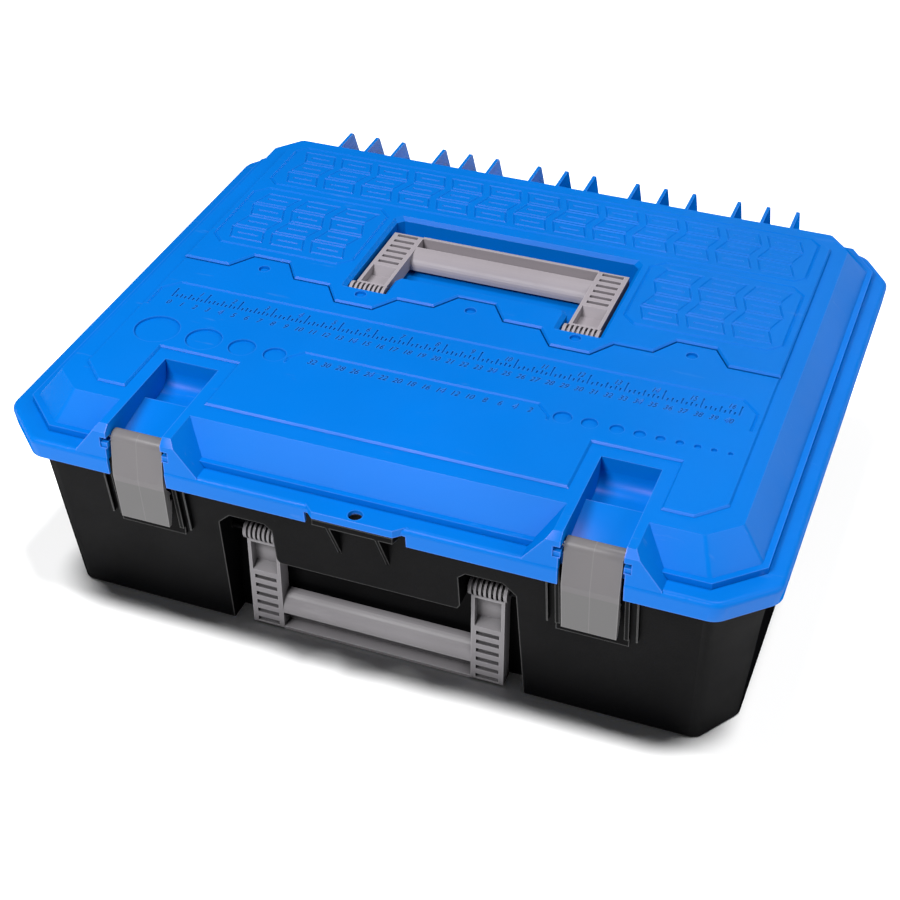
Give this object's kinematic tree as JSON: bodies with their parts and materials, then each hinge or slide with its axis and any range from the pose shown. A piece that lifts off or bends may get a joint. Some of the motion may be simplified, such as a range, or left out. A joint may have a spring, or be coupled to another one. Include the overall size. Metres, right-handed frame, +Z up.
{
  "type": "hard tool case",
  "caption": "Flat hard plastic tool case: tapered tub, hinged lid with ruler and working surface, front latches, fold-away carry handles and padlock eye.",
  "frame": {"origin": "middle of the bounding box's underside, on the surface that the tub stands on", "axes": "+X to the right, +Y to the hinge at the back, +Z up; the latches face -Y"},
  "size_m": [0.5242, 0.4572, 0.166],
  "materials": {
    "black_plastic": "fine moulded texture",
    "blue_plastic": "satin moulded",
    "grey_plastic": "satin moulded",
    "pin_steel": "drawn wire"
  },
  "bodies": {
    "base": {"base_tub": "black_plastic", "hinge_pin_1": "pin_steel", "hinge_pin_2": "pin_steel", "hinge_pin_3": "pin_steel", "hinge_pin_4": "pin_steel", "hinge_pin_5": "pin_steel", "front_handle_pin_left": "pin_steel", "front_handle_pin_right": "pin_steel"},
    "lid": {"lid_shell": "blue_plastic", "latch_pin_left": "pin_steel", "latch_pin_right": "pin_steel", "lid_handle_pin_left": "pin_steel", "lid_handle_pin_right": "pin_steel"},
    "latch_left": {"latch_left": "grey_plastic"},
    "latch_right": {"latch_right": "grey_plastic"},
    "lid_handle": {"lid_handle": "grey_plastic"},
    "front_handle": {"front_handle": "grey_plastic"}
  },
  "joints": [
    {"name": "lid_hinge", "type": "hinge", "parent": "base", "child": "lid", "pos_m": [0, 0.22155, 0.1215], "axis": [-1, 0, 0], "range_deg": [0, 100]},
    {"name": "latch_left_hinge", "type": "hinge", "parent": "lid", "child": "latch_left", "pos_m": [-0.152, -0.21485, 0.1505], "axis": [-1, 0, 0], "range_deg": [0, 245]},
    {"name": "latch_right_hinge", "type": "hinge", "parent": "lid", "child": "latch_right", "pos_m": [0.152, -0.21485, 0.1505], "axis": [-1, 0, 0], "range_deg": [0, 245]},
    {"name": "lid_handle_hinge", "type": "hinge", "parent": "lid", "child": "lid_handle", "pos_m": [0, -0.01035, 0.158], "axis": [1, 0, 0], "range_deg": [0, 100]},
    {"name": "front_handle_hinge", "type": "hinge", "parent": "base", "child": "front_handle", "pos_m": [0, -0.19305, 0.0805], "axis": [-1, 0, 0], "range_deg": [0, 100]}
  ]
}
